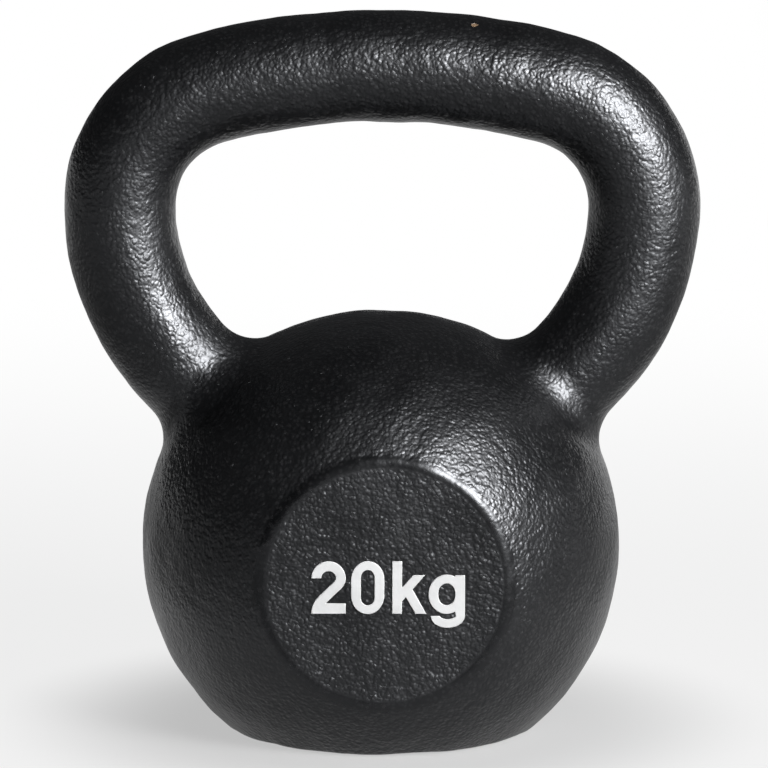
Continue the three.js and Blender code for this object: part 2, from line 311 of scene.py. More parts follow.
barAngles = np.arange(loop["around"]) * 2 * math.pi / loop["around"]  # from the hand side
sections = [WeldSection(angle) for angle in barAngles]
sideSign = {"left": -1, "right": 1}


def toSide(points, side):
    return points * np.array([sideSign[side], 1, 1])


def legRing(out, ups):
    # A ring round the right leg, at one height or at one for each section
    ups = np.broadcast_to(ups, len(sections))
    return np.array([s.place(out, up) for s, up in zip(sections, ups)])


def legLand(share, wall):
    return np.array([s.land(share, wall) for s in sections])


legOutward = np.array([s.across for s in sections])
seamUps = np.array([s.arcUp for s in sections])  # where the bar comes out of the collar
print("leg sections ready")


# What every material is put together with
def newMaterial(name):
    material = bpy.data.materials.new(name)
    material.use_nodes = True
    tree = material.node_tree
    return material, tree, tree.nodes["Principled BSDF"]


def setInputs(tree, node, values):
    # Numbers and colours are set on the inputs, and outputs of other nodes are linked to them
    for key, value in values.items():
        if isinstance(value, bpy.types.NodeSocket):
            tree.links.new(value, node.inputs[key])
        else:
            node.inputs[key].default_value = value


def addNode(tree, kind, inputs, **settings):
    node = tree.nodes.new(kind)
    for key, value in settings.items():
        setattr(node, key, value)
    setInputs(tree, node, inputs)
    return node


def mathNode(tree, operation, *values):
    return addNode(tree, "ShaderNodeMath", dict(enumerate(values)), operation=operation).outputs[0]


def rangeNode(tree, value, fromLow, fromHigh, toLow=0.0, toHigh=1.0):
    inputs = {"From Min": fromLow, "From Max": fromHigh, "To Min": toLow, "To Max": toHigh,
              "Value": value}
    node = addNode(tree, "ShaderNodeMapRange", inputs, interpolation_type="SMOOTHSTEP")
    return node.outputs["Result"]


def millimetres(tree):
    place = addNode(tree, "ShaderNodeTexCoord", {}).outputs["Object"]
    inputs = {0: place, "Scale": 1000}
    return addNode(tree, "ShaderNodeVectorMath", inputs, operation="SCALE").outputs[0]


def noiseNode(tree, place, size, detail=2.0, roughness=0.5, distortion=0.0):
    inputs = {"Scale": 1 / size, "Detail": detail, "Roughness": roughness,
              "Distortion": distortion, "Vector": place}
    return addNode(tree, "ShaderNodeTexNoise", inputs).outputs["Fac"]


def bumpNode(tree, height):
    # The heights are in millimetres
    inputs = {"Strength": 1.0, "Distance": 0.001, "Height": height}
    return addNode(tree, "ShaderNodeBump", inputs).outputs["Normal"]


def mixColours(tree, share, first, second):
    first, second = [(*c, 1) if isinstance(c, tuple) else c for c in (first, second)]
    inputs = {"Factor": share, 6: first, 7: second}
    return addNode(tree, "ShaderNodeMix", inputs, data_type="RGBA").outputs[2]


hammerEnamel = {
    "colour": (0.0022, 0.0023, 0.0027),
    "paintedGlintColour": (0.011, 0.011, 0.0117),  # painted glint: the tops of the grain are painted lighter
    "paintedGlintSpan": (0.2, 0.8),
    "roughness": (0.34, 0.42),
    "patchSize": 28.0,  # of duller and glossier patches
    "patchSpan": (0.3, 0.7),
    "sheen": (0.935, 0.955, 1.0),
    "ior": 1.4,
    # The hammered grain, in millimetres: small uneven domes, and a gentle swell under them
    "domeGap": 1.5,
    "domeRadius": 1.25,
    "domeHeight": 0.175,
    "domeSpread": 0.6,  # how much lower than the highest the lowest ones are
    "warp": 0.8,
    "warpSize": 1.8,
    "swell": 1.8,
    "swellHeight": 0.30,
    # The enamel has flowed smooth over the flat faces' edges: less grain there, and more gloss
    "smoothBand": (40.6, 41.8, 44.8, 46.4),
    "glossBand": (41.2, 42.2, 45.4, 46.8),
    "bandDepth": (60.0, 64.0),  # nearer to the bell's middle there is no band
    "rimShare": 0.2,
    "rimGloss": 0.7,
    "chip": (32.0, -8.6, 252.9),  # a small knock on top of the grip
    "chipSpan": (1.6, 2.0),
    "chipRagged": 1.4,  # how far its edge wanders
    "chipRaggedSize": 1.3,
    "chipDepth": 0.25,
    "chipColour": (0.30, 0.20, 0.12),
}


def rimBand(tree, place, share, start, full, fade, end):
    # The share in a ring round each flat face, full from one radius to the next, and elsewhere one
    side, depth, high = addNode(tree, "ShaderNodeSeparateXYZ", {0: place}).outputs
    up = mathNode(tree, "SUBTRACT", high, casting["lift"])
    radius = mathNode(tree, "SQRT", mathNode(tree, "ADD", mathNode(tree, "MULTIPLY", side, side),
                                             mathNode(tree, "MULTIPLY", up, up)))
    ring = mathNode(tree, "MULTIPLY", rangeNode(tree, radius, start, full),
                    rangeNode(tree, radius, fade, end, 1.0, 0.0))
    front = rangeNode(tree, mathNode(tree, "ABSOLUTE", depth), *hammerEnamel["bandDepth"])
    return mathNode(tree, "MULTIPLY_ADD", mathNode(tree, "MULTIPLY", ring, front), share - 1, 1.0)


def grainDomes(tree, place):
    # Small uneven domes, one in each cell of a warped pattern, as heights up to one
    s = hammerEnamel
    wander = addNode(tree, "ShaderNodeTexNoise",
                     {"Scale": 1 / s["warpSize"], "Detail": 0.0, "Vector": place})
    bent = addNode(tree, "ShaderNodeVectorMath",
                   {0: wander.outputs["Color"], 1: (s["warp"],) * 3, 2: place},
                   operation="MULTIPLY_ADD")
    domes = addNode(tree, "ShaderNodeTexVoronoi",
                    {"Scale": 1 / s["domeGap"], "Vector": bent.outputs[0]}, feature="F1")
    out = mathNode(tree, "MULTIPLY", domes.outputs["Distance"], s["domeGap"] / s["domeRadius"])
    bowl = mathNode(tree, "MULTIPLY", out, out)
    cap = mathNode(tree, "MAXIMUM", mathNode(tree, "SUBTRACT", 1.0, bowl), 0.0)
    cap = mathNode(tree, "MULTIPLY", cap, cap)
    tall = addNode(tree, "ShaderNodeSeparateColor", {0: domes.outputs["Color"]})
    tallness = mathNode(tree, "MULTIPLY_ADD", tall.outputs[0], -s["domeSpread"], 1.0)
    return mathNode(tree, "MULTIPLY", cap, tallness)


def knock(tree, place):
    # One where the enamel is knocked off the grip, with a ragged edge
    s = hammerEnamel
    away = addNode(tree, "ShaderNodeVectorMath", {0: place, 1: s["chip"]}, operation="DISTANCE")
    edge = noiseNode(tree, place, s["chipRaggedSize"])
    ragged = mathNode(tree, "MULTIPLY_ADD", edge, s["chipRagged"], away.outputs["Value"])
    return rangeNode(tree, ragged, *s["chipSpan"], 1.0, 0.0)


def hammerEnamelMaterial(name, depth, rims=False):
    s = hammerEnamel
    material, tree, shader = newMaterial(name)
    place = millimetres(tree)
    cap = grainDomes(tree, place)
    swell = noiseNode(tree, place, s["swell"], detail=1.0)
    domes = mathNode(tree, "MULTIPLY", cap, s["domeHeight"])
    swell = mathNode(tree, "MULTIPLY_ADD", swell, s["swellHeight"], -s["swellHeight"] / 2)
    height = mathNode(tree, "MULTIPLY", mathNode(tree, "ADD", domes, swell), depth)
    patches = noiseNode(tree, place, s["patchSize"], detail=3.0)
    dull = rangeNode(tree, patches, *s["patchSpan"], *s["roughness"])
    if rims:
        smooth = rimBand(tree, place, s["rimShare"], *s["smoothBand"])
        gloss = rimBand(tree, place, s["rimGloss"], *s["glossBand"])
        height = mathNode(tree, "MULTIPLY", height, smooth)
        dull = mathNode(tree, "MULTIPLY", dull, gloss)
    # Painted glint: the domes' tops are painted lighter, on top of the real glints from the bumps
    colour = mixColours(tree, rangeNode(tree, cap, *s["paintedGlintSpan"]), s["colour"], s["paintedGlintColour"])

    # The knock: bare iron that has started to rust, a little below the enamel
    bare = knock(tree, place)
    colour = mixColours(tree, bare, colour, s["chipColour"])
    height = mathNode(tree, "MULTIPLY_ADD", bare, -s["chipDepth"], height)
    setInputs(tree, shader, {"Base Color": colour, "Roughness": dull, "IOR": s["ior"],
                             "Specular Tint": (*s["sheen"], 1), "Normal": bumpNode(tree, height)})
    return material


markEnamel = {
    "colour": (0.86, 0.865, 0.87),
    "darker": 0.965,  # the tone's darkest share of the colour
    "toneSize": 3.0,
    "toneSpan": (0.35, 0.65),
    "roughness": 0.38,
    "peelSize": 1.7,
    "peelHeight": 0.05,
}


def markEnamelMaterial():
    s = markEnamel
    material, tree, shader = newMaterial("markEnamel")
    place = millimetres(tree)
    tone = rangeNode(tree, noiseNode(tree, place, s["toneSize"]), *s["toneSpan"])
    darker = tuple(s["darker"] * c for c in s["colour"])
    colour = mixColours(tree, tone, darker, s["colour"])
    peel = mathNode(tree, "MULTIPLY", noiseNode(tree, place, s["peelSize"]), s["peelHeight"])
    setInputs(tree, shader, {"Base Color": colour, "Roughness": s["roughness"],
                             "Normal": bumpNode(tree, peel)})
    return material


rubber = {
    "colour": (0.022, 0.021, 0.020),
    "dust": (0.060, 0.057, 0.052),
    "dustSize": 17.0,
    "dustSpan": (0.48, 0.75),
    "roughness": (0.62, 0.85),
    "grainSize": 0.5,
    "grainHeight": 0.06,
}


def rubberMaterial():
    s = rubber
    material, tree, shader = newMaterial("padRubber")
    place = millimetres(tree)
    dust = noiseNode(tree, place, s["dustSize"], detail=5.0, roughness=0.6)
    wear = rangeNode(tree, dust, *s["dustSpan"])
    colour = mixColours(tree, wear, s["colour"], s["dust"])
    dull = rangeNode(tree, wear, 0.0, 1.0, *s["roughness"])
    grain = noiseNode(tree, place, s["grainSize"], detail=3.0)
    height = mathNode(tree, "MULTIPLY", grain, s["grainHeight"])
    setInputs(tree, shader, {"Base Color": colour, "Roughness": dull,
                             "Normal": bumpNode(tree, height)})
    return material


turnedSteel = {
    "colour": (0.46, 0.46, 0.45),
    "stain": (0.25, 0.22, 0.19),
    "stainSize": 9.0,
    "stainSpan": (0.5, 0.72),
    "roughness": (0.22, 0.42),
    "rings": 1.1,
    "ringWander": 1.2,
    "ringHeight": 0.02,
}


def turnedSteelMaterial():
    # Lathe rings round the bell's upright axis, with a few oily stains
    s = turnedSteel
    material, tree, shader = newMaterial("turnedSteel")
    place = millimetres(tree)
    inputs = {"Scale": s["rings"], "Distortion": s["ringWander"], "Vector": place}
    rings = addNode(tree, "ShaderNodeTexWave", inputs, wave_type="RINGS", rings_direction="Z")
    stain = rangeNode(tree, noiseNode(tree, place, s["stainSize"], detail=4.0), *s["stainSpan"])
    colour = mixColours(tree, stain, s["colour"], s["stain"])
    dull = rangeNode(tree, stain, 0.0, 1.0, *s["roughness"])
    height = mathNode(tree, "MULTIPLY", rings.outputs["Fac"], s["ringHeight"])
    setInputs(tree, shader, {"Base Color": colour, "Roughness": dull, "Metallic": 1.0,
                             "Normal": bumpNode(tree, height)})
    return material


vulcanFibre = {
    "colour": (0.16, 0.035, 0.020),
    "fleck": (0.24, 0.07, 0.04),
    "fleckSpan": (0.4, 0.65),
    "strandSize": 1.4,
    "strandHeight": 0.05,
    "roughness": 0.7,
}


def vulcanFibreMaterial():
    s = vulcanFibre
    material, tree, shader = newMaterial("vulcanFibre")
    place = millimetres(tree)
    strands = noiseNode(tree, place, s["strandSize"], detail=5.0, roughness=0.7, distortion=1.5)
    colour = mixColours(tree, rangeNode(tree, strands, *s["fleckSpan"]), s["colour"], s["fleck"])
    height = mathNode(tree, "MULTIPLY", strands, s["strandHeight"])
    setInputs(tree, shader, {"Base Color": colour, "Roughness": s["roughness"],
                             "Normal": bumpNode(tree, height)})
    return material


castEnamel = hammerEnamelMaterial("castEnamel", 1.0, rims=True)
barEnamel = hammerEnamelMaterial("barEnamel", 0.85)
weldEnamel = hammerEnamelMaterial("weldEnamel", 0.8)
print("materials ready")


# The ball
def ringAround(axis, out, high):
    # A ring of points round an axis, as far out and as high along it as given
    angles = np.arange(casting["ringPoints"]) * 2 * math.pi / casting["ringPoints"]
    side = np.array([1.0, 0, 0])
    ring = np.outer(np.cos(angles), side) + np.outer(np.sin(angles), np.cross(axis, side))
    return ring * out + np.array(axis) * high


def cutRings(axis, depth, edge):
    # Rings that follow a cut's rounded edge and the first steps on both sides of it
    centreHigh = depth - edge
    centreOut = math.sqrt((casting["radius"] - edge) ** 2 - centreHigh ** 2)
    sweep = math.atan2(centreOut, centreHigh)
    rings = [(centreOut - gap, depth) for gap in reversed(casting["edgeGaps"])]
    for k in range(casting["edgeRings"]):
        turn = sweep * k / (casting["edgeRings"] - 1)
        rings.append((centreOut + edge * math.sin(turn), centreHigh + edge * math.cos(turn)))
    for gap in casting["edgeGaps"]:
        turn = sweep + gap / casting["radius"]
        rings.append((casting["radius"] * math.sin(turn), casting["radius"] * math.cos(turn)))
    return [ringAround(axis, out, high) for out, high in rings]


def spiralLattice(spacing):
    # Points spread evenly over a sphere, as closely as a lattice of triangles of that side
    count = int(4 * math.pi * casting["radius"] ** 2 / (spacing ** 2 * casting["rowShare"]))
    k = np.arange(count) + 0.5
    high = 1 - 2 * k / count
    turn = k * math.pi * (3 - math.sqrt(5))
    out = np.sqrt(1 - high ** 2)
    return np.stack([out * np.cos(turn), out * np.sin(turn), high], axis=1)


def flattened(directions, pole):
    # Stereographic map from a pole that lies in a hole of the skin
    side = unit(np.cross(pole, [0, 1.0, 0]))
    other = np.cross(pole, side)
    scale = 1 / np.maximum(1 - directions @ pole, 1e-6)
    return np.stack([directions @ side * scale, directions @ other * scale], axis=1)


def holeLoops():
    # The edges of the ball's skin: the pad's recess and, under the welds, the two sockets
    rim = ringAround((0, 0, -1.0), padRecess["radius"] + padRecess["lead"], casting["baseDrop"])
    seam = np.array([s.place(*s.arc(1)) for s in sections])
    return rim, toSide(seam, "right"), toSide(seam, "left")


def inHoles(points):
    # Whether points of the ball lie inside the pad's recess or under a weld
    padHole = padRecess["radius"] + padRecess["lead"]
    inside = (np.hypot(points[:, 0], points[:, 1]) < padHole) & (points[:, 2] < padRecess["below"])
    angles = np.append(barAngles, 2 * math.pi)
    edge = np.array([s.arc(1)[0] for s in sections] + [sections[0].arc(1)[0]])
    for sign in sideSign.values():
        local = points * [sign, 1, 1] - axisNearest
        hand, deep = local @ handWay, local[:, 1]
        angle = np.arctan2(deep, hand) % (2 * math.pi)
        underWeld = np.hypot(hand, deep) < np.interp(angle, angles, edge)
        inside |= underWeld & (local @ legAxis > legSocket["above"])
    return inside


def skinTriangles(points, loops):
    # Joins the ball's points into triangles that keep every loop's edges
    pole = unit(axisNearest + legAxis * casting["radius"])
    edges = []
    first = 0
    for ring in loops:
        edges += [(first + i, first + (i + 1) % len(ring)) for i in range(len(ring))]
        first += len(ring)
    flat = [Vector(v) for v in flattened(unit(points), pole).tolist()]
    result = delaunay_2d_cdt(flat, edges, [], 0, 1e-9, True)
    source = [origins[0] for origins in result[3]]
    triangles = np.array(source)[np.array(result[2])]
    holeEdge = np.zeros(len(points), bool)
    holeEdge[:len(loops[0])] = True
    holeEdge[first - 2 * len(sections):first] = True
    triangles = triangles[~holeEdge[triangles].all(1)]  # the others only span a hole
    corners = points[triangles]
    facing = np.cross(corners[:, 1] - corners[:, 0], corners[:, 2] - corners[:, 0])
    inwards = (facing * corners.mean(1)).sum() < 0
    return triangles[:, ::-1] if inwards else triangles


def closeRecess(shell, rimLoop):
    # The recess for the pad, and the trim bore above it with room for the plug's head
    r, soft = padRecess, padRecess["corner"]
    profile = ((r["radius"], r["lead"]), (r["radius"], r["depth"] - soft),
               (r["radius"] - soft, r["depth"]), (r["middleRing"], r["depth"]),
               (r["headHole"], r["depth"]), (r["headHole"], r["headTop"]),
               (r["bore"], r["headTop"]), (r["bore"], r["boreTop"] / 2), (r["bore"], r["boreTop"]))
    recess = [ringAround((0, 0, -1.0), out, casting["baseDrop"] - deep) for out, deep in profile]
    shell.close(rimLoop, recess, np.array([0, 0, r["boreTop"] - casting["baseDrop"]]))


def closeSocket(shell, seamLoop, side):
    # The land that a weld sits on, and the socket for the leg
    wall, soft = loop["bar"] + legSocket["gap"], legSocket["corner"]
    bottom = legFoot - legSocket["gap"]
    rows = []
    for share, deep in legSocket["landRows"]:
        lands = toSide(legLand(share, wall), side)
        rows.append(underSkin(lands, ballNormals(lands), deep))
    for out, up in ((wall, legSocket["wallMiddle"]), (wall, bottom + soft), (wall - soft, bottom),
                    (legSocket["floorRing"], bottom)):
        rows.append(toSide(legRing(out, up), side))
    end = toSide((axisNearest + legAxis * bottom)[None], side)[0]
    if side == "right":  # the left socket is its mirror image
        seamLoop, rows = seamLoop[::-1], [row[::-1] for row in rows]
    shell.close(seamLoop, rows, end)


def buildBall():
    rim, rightSeam, leftSeam = holeLoops()
    front, back, base = [cutRings(*cut) for cut in cuts]
    loops = [rim, *base, *front, *back, rightSeam, leftSeam]
    ringPoints = np.concatenate(loops)

    tree = KDTree(len(ringPoints))
    for i, point in enumerate(ringPoints.tolist()):
        tree.insert(point, i)
    tree.balance()
    lattice = onBall(spiralLattice(casting["spacing"]))
    room = casting["spacing"] * casting["clearing"]
    free = np.array([tree.find(point)[2] > room for point in lattice.tolist()])
    points = np.concatenate([ringPoints, lattice[free & ~inHoles(lattice)]])

    used, triangles = np.unique(skinTriangles(points, loops), return_inverse=True)
    keep = {old: new for new, old in enumerate(used.tolist())}
    skin = onBall(unit(points[used]))
    skin, normals = roughCast(skin, ballNormals(skin))

    shell = Shell(skin, triangles.reshape(-1, 3).tolist())
    closeRecess(shell, [keep[i] for i in range(len(rim))])
    leftStart = len(ringPoints) - len(leftSeam)
    for side, start in (("right", leftStart - len(rightSeam)), ("left", leftStart)):
        closeSocket(shell, [keep[start + i] for i in range(len(sections))], side)
    points = np.concatenate(shell.points)
    faces, normals = outwardShell(points, shell.faces, normals)
    return stand(makePiece("bellBall", points, faces, normals, castEnamel), "ball")


padRecess = {  # depths are from the iron's underside
    "radius": 43.3,
    "depth": 3.0,
    "lead": 0.35,
    "corner": 0.1,
    "middleRing": 30.0,
    "headHole": 17.3,  # radius of the room for the plug's head
    "headTop": 9.4,
    "bore": 14.0,
    "boreTop": 95.4,
    "below": -60.0,  # the whole recess lies lower than this
}
ball = buildBall()
print("ball:", len(ball.data.polygons), "faces")


# The handle
gripLength = loop["gripArc"] * loop["gripHalf"]  # of half the grip
cornerLength = loop["cornerArc"] * (math.pi / 2 - loop["gripHalf"])
legLength = loop["legArc"] * loop["lean"]


def handleLine(along):
    # Place and direction on the right half of the centreline, from the grip's middle outwards
    if along <= gripLength:
        turn = along / loop["gripArc"]
        middle, radius = gripMiddle, loop["gripArc"]
    elif along <= gripLength + cornerLength:
        turn = loop["gripHalf"] + (along - gripLength) / loop["cornerArc"]
        middle, radius = cornerMiddle, loop["cornerArc"]
    else:
        turn = math.pi / 2 + (along - gripLength - cornerLength) / loop["legArc"]
        middle, radius = legMiddle, loop["legArc"]
    if along > gripLength + cornerLength + legLength:
        beyond = along - gripLength - cornerLength - legLength
        turn = math.pi / 2 + loop["lean"]
        place = legEnd - beyond * np.array([legAxis[0], legAxis[2]])
    else:
        place = middle + radius * np.array([math.sin(turn), math.cos(turn)])
    return place, np.array([math.sin(turn), math.cos(turn)])


def barRings():
    # The rings of the handle's skin from the right seam to the left one, and their normals
    rows, normals = [], []
    evenTop = legTop - loop["squareGap"]  # the last ring that is square to the leg
    shares = [(k / loop["endRows"]) ** loop["endEase"] for k in range(loop["endRows"])]

    def addLegRings(side, shares):
        for share in shares:
            ups = seamUps + (evenTop - seamUps) * share
            rows.append(toSide(legRing(loop["bar"], ups), side))
            normals.append(toSide(legOutward, side))

    addLegRings("right", shares)
    half = gripLength + cornerLength + legLength + loop["squareGap"]
    steps = int(round(2 * half / loop["step"]))
    for i in range(steps + 1):
        along = half - 2 * half * i / steps
        place, outward = handleLine(abs(along))
        sign = 1 if along >= 0 else -1
        middle = np.array([sign * place[0], 0, place[1]])
        # Sections count their angle from the hand side, against the outward direction
        radial = np.array([-sign * outward[0], 0, -outward[1]])
        row = np.outer(np.cos(barAngles), radial) + np.outer(np.sin(barAngles), [0, 1.0, 0])
        rows.append(middle + row * loop["bar"])
        normals.append(row)
    addLegRings("left", reversed(shares))
    return rows, normals


def buildHandle():
    rows, normals = barRings()
    skin, normals = roughCast(np.concatenate(rows), np.concatenate(normals))
    around = loop["around"]
    shell = Shell(skin, gridFaces(len(rows), around))
    ends = {"right": list(range(around)), "left": list(range(len(skin) - around, len(skin)))}
    levels = [(deep, seamUps - drop) for deep, drop in loop["hiddenRows"]]
    levels += [(deep, legFoot + rise) for deep, rise in loop["footRows"]]
    for side, last in ends.items():
        rings = [underSkin(toSide(legRing(loop["bar"], ups), side), toSide(legOutward, side), deep)
                 for deep, ups in levels]
        end = toSide(axisNearest + legAxis * legFoot, side)
        shell.close(last, rings, end, turned=side == "right")
    points = np.concatenate(shell.points)
    faces, normals = outwardShell(points, shell.faces, normals)
    return stand(makePiece("loopHandle", points, faces, normals, barEnamel), "handle")


handle = buildHandle()
print("handle:", len(handle.data.polygons), "faces")


# The welds
def filletSkin(side):
    # The hollow fillet's points, in rows from the bar to the ball, and their normals
    steps = weld["arcSteps"]
    grid = np.array([[s.place(*s.arc(k / steps)) for s in sections] for k in range(steps + 1)])
    settle = onBall(unit(grid[-1])) - grid[-1]  # the last row lies exactly on the ball
    grid += settle * (np.arange(steps + 1) / steps)[:, None, None] ** 2
    closed = np.concatenate([grid[:, -2:], grid, grid[:, :2]], axis=1)
    alongRow = np.gradient(closed, axis=1)[:, 2:-2]
    downRow = np.gradient(grid, axis=0, edge_order=2)
    normals = unit(np.cross(alongRow, downRow))
    if (normals[0] * legOutward).sum() < 0:
        normals = -normals
    normals[0] = legOutward
    normals[-1] = ballNormals(grid[-1])
    return roughCast(toSide(grid.reshape(-1, 3), side), toSide(normals.reshape(-1, 3), side))


def buildWeld(side):
    skin, normals = filletSkin(side)
    # The side that lies on the ball, then the side that lies on the bar
    under = []
    for share, deep in weld["landRows"]:
        lands = toSide(legLand(share, loop["bar"] - weld["barDepth"]), side)
        under.append(underSkin(lands, ballNormals(lands), deep))
    for drop in weld["barDrops"]:
        row = toSide(legRing(loop["bar"], seamUps - drop), side)
        under.append(underSkin(row, toSide(legOutward, side), weld["barDepth"]))
    points = np.concatenate([skin, *under])
    rows = weld["arcSteps"] + 1 + len(under)
    faces = gridFaces(rows, len(sections), wrapRows=True)
    faces, normals = outwardShell(points, faces, normals)
    piece = makePiece(side + "WeldFillet", points, faces, normals, weldEnamel)
    return stand(piece, side + "_weld")


for side in sideSign:
    fillet = buildWeld(side)
    print(side, "weld:", len(fillet.data.polygons), "faces")


# The weight mark
mark = {
    "back": -72.8,  # the mark's back, a little under the face
    "front": -73.6,
    "edge": 0.26,  # radius of its rounded rim
    "edgeSteps": 3,
    "spacing": 0.8,
    "cornerTurn": math.radians(24),  # a sharper turn than this is a corner
    "stretch": 0.6,  # a corner's inset grows no more than by one over this
    "flatness": 0.01,  # of what counts as the flat front
}


def outlineLoops(node):
    # Closed loops round the flat front of a CAD character, as x and z in millimetres
    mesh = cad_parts[node].data
    place = np.array([v.co for v in mesh.vertices]) * 1000
    merged = {}
    label = [merged.setdefault(tuple(np.round(p, 3)), len(merged)) for p in place]
    spots = np.array(list(merged))
    front = spots[:, 1].min() + mark["flatness"]
    count = {}
    for polygon in mesh.polygons:
        ids = [label[v] for v in polygon.vertices]
        if all(spots[i][1] < front for i in ids):
            for a, b in zip(ids, ids[1:] + ids[:1]):
                count[(a, b)] = count.get((a, b), 0) + 1
    follow = {a: b for a, b in count if (b, a) not in count}
    loops = []
    while follow:
        start, now = follow.popitem()
        ring = [start]
        while now != start:
            ring.append(now)
            now = follow.pop(now)
        loops.append(spots[ring][:, [0, 2]] - [0, casting["lift"]])
    return loops


def evenLoop(ring):
    # Keeps the corners, and spreads the points between them evenly
    ahead = np.roll(ring, -1, 0) - ring
    behind = ring - np.roll(ring, 1, 0)
    turn = np.abs(np.arctan2(behind[:, 0] * ahead[:, 1] - behind[:, 1] * ahead[:, 0],
                             (behind * ahead).sum(1)))
    corners = np.flatnonzero(turn > mark["cornerTurn"])
    if len(corners) == 0:
        corners = np.array([0])
    ring = np.roll(ring, -corners[0], 0)
    corners = list(corners - corners[0]) + [len(ring)]
    closed = np.concatenate([ring, ring[:1]])
    out = []
    for a, b in zip(corners, corners[1:]):
        part = closed[a:b + 1]
        gaps = np.linalg.norm(np.diff(part, axis=0), axis=1)
        reach = np.concatenate([[0], np.cumsum(gaps)])
        pieces = max(int(round(reach[-1] / mark["spacing"])), 1)
        at = np.linspace(0, reach[-1], pieces + 1)[:-1]
        out.append(np.stack([np.interp(at, reach, part[:, k]) for k in (0, 1)], axis=1))
    return np.concatenate(out)


def insetLoop(ring, depth):
    # Moves a loop towards the inside of the character, which lies on its left
    ahead = unit(np.roll(ring, -1, 0) - ring)
    behind = unit(ring - np.roll(ring, 1, 0))
    left = unit(np.stack([-(ahead + behind)[:, 1], (ahead + behind)[:, 0]], axis=1))
    square = np.stack([-ahead[:, 1], ahead[:, 0]], axis=1)
    stretch = 1 / np.maximum((left * square).sum(1), mark["stretch"])
    return ring + left * depth * stretch[:, None]


def insideLoops(spot, loops):
    crossings = 0
    for ring in loops:
        a, b = ring, np.roll(ring, -1, 0)
        spans = (a[:, 1] > spot[1]) != (b[:, 1] > spot[1])
        rise = np.where(b[:, 1] == a[:, 1], 1, b[:, 1] - a[:, 1])
        x = a[:, 0] + (spot[1] - a[:, 1]) * (b[:, 0] - a[:, 0]) / rise
        crossings += int((spans & (spot[0] < x)).sum())
    return crossings % 2 == 1


def markWall(loops):
    # The character's side and rounded rim, with the loops that its back and its front start from
    levels = [(0.0, mark["back"]), (0.0, mark["front"] + mark["edge"])]
    for k in range(1, mark["edgeSteps"] + 1):
        turn = math.pi / 2 * k / mark["edgeSteps"]
        inset = mark["edge"] * (1 - math.cos(turn))
        levels.append((inset, mark["front"] + mark["edge"] * (1 - math.sin(turn))))
    points, faces, backLoops, frontLoops = [], [], [], []
    total = 0
    for ring in loops:
        size = len(ring)
        for k, (inset, depth) in enumerate(levels):
            now = insetLoop(ring, inset)
            points.append(np.stack([now[:, 0], np.full(size, depth), now[:, 1]], axis=1))
            if k == 0:
                backLoops.append(list(range(total, total + size)))
            else:
                for i in range(size):
                    j = (i + 1) % size
                    faces.append([total - size + i, total - size + j, total + j, total + i])
            total += size
        frontLoops.append(list(range(total - size, total)))
    return np.concatenate(points), faces, backLoops, frontLoops


def flatFaces(points, loops):
    # Faces that fill what lies inside the loops of one flat side
    ids = [i for group in loops for i in group]
    flat = [Vector((points[i][0], points[i][2])) for i in ids]
    edges, first = [], 0
    for group in loops:
        edges += [(first + i, first + (i + 1) % len(group)) for i in range(len(group))]
        first += len(group)
    result = delaunay_2d_cdt(flat, edges, [], 2, 1e-7, True)
    source = [ids[origins[0]] for origins in result[3]]
    borders = [points[group][:, [0, 2]] for group in loops]
    faces = [[source[v] for v in face] for face in result[2]]
    return [face for face in faces if insideLoops(points[face].mean(0)[[0, 2]], borders)]


def buildMark(node, material):
    loops = [evenLoop(ring) for ring in outlineLoops(node)]
    areas = [(ring * np.roll(ring[:, ::-1], -1, 0) * [1, -1]).sum() for ring in loops]
    if areas[int(np.argmax(np.abs(areas)))] < 0:  # the outer loop runs anticlockwise
        loops = [ring[::-1] for ring in loops]
    points, faces, backLoops, frontLoops = markWall(loops)
    faces += flatFaces(points, frontLoops)
    faces += [face[::-1] for face in flatFaces(points, backLoops)]
    if vertexNormals(points, faces)[frontLoops[0]][:, 1].mean() > 0:
        faces = [face[::-1] for face in faces]
    # The mark follows the face's unevenness
    forward = np.tile([0, -1.0, 0], (len(points), 1))
    moved, _ = roughCast(points * [1, 0, 1] + [0, -casting["faceDistance"], 0], forward)
    points[:, 1] += moved[:, 1] + casting["faceDistance"]
    normals = vertexNormals(points, faces)
    piece = makePiece(node.replace("mark_", "weightMark_"), points, faces, normals, material)
    return stand(piece, node)


whiteEnamel = markEnamelMaterial()
for node in ("mark_2", "mark_0", "mark_k", "mark_g"):
    character = buildMark(node, whiteEnamel)
    print(node, len(character.data.polygons), "faces")


# The base pad, and the plug, washer and slug above it
pad = {
    "radius": 43.0,
    "top": 3.3,
    "topRing": 22.0,
    "dimple": ((2.2, 0.55), (3.0, 0.0)),  # radii and heights of a moulding mark in the middle
    "dimpleTop": 0.6,
    "grooves": (12.0, 20.0, 28.0, 36.0),  # radii
    # Across a groove, from its middle: how far out and how high
    "groove": ((-1.05, 0.0), (-0.8, 0.18), (-0.6, 0.7), (0.6, 0.7), (0.8, 0.18), (1.05, 0.0)),
    # Round the rim, how far in from it and how high
    "rim": ((1.1, 0.0), (0.8, 0.06), (0.08, 0.8), (0.0, 1.05), (0.0, 3.0), (0.3, 3.3)),
    "segments": 144,
}


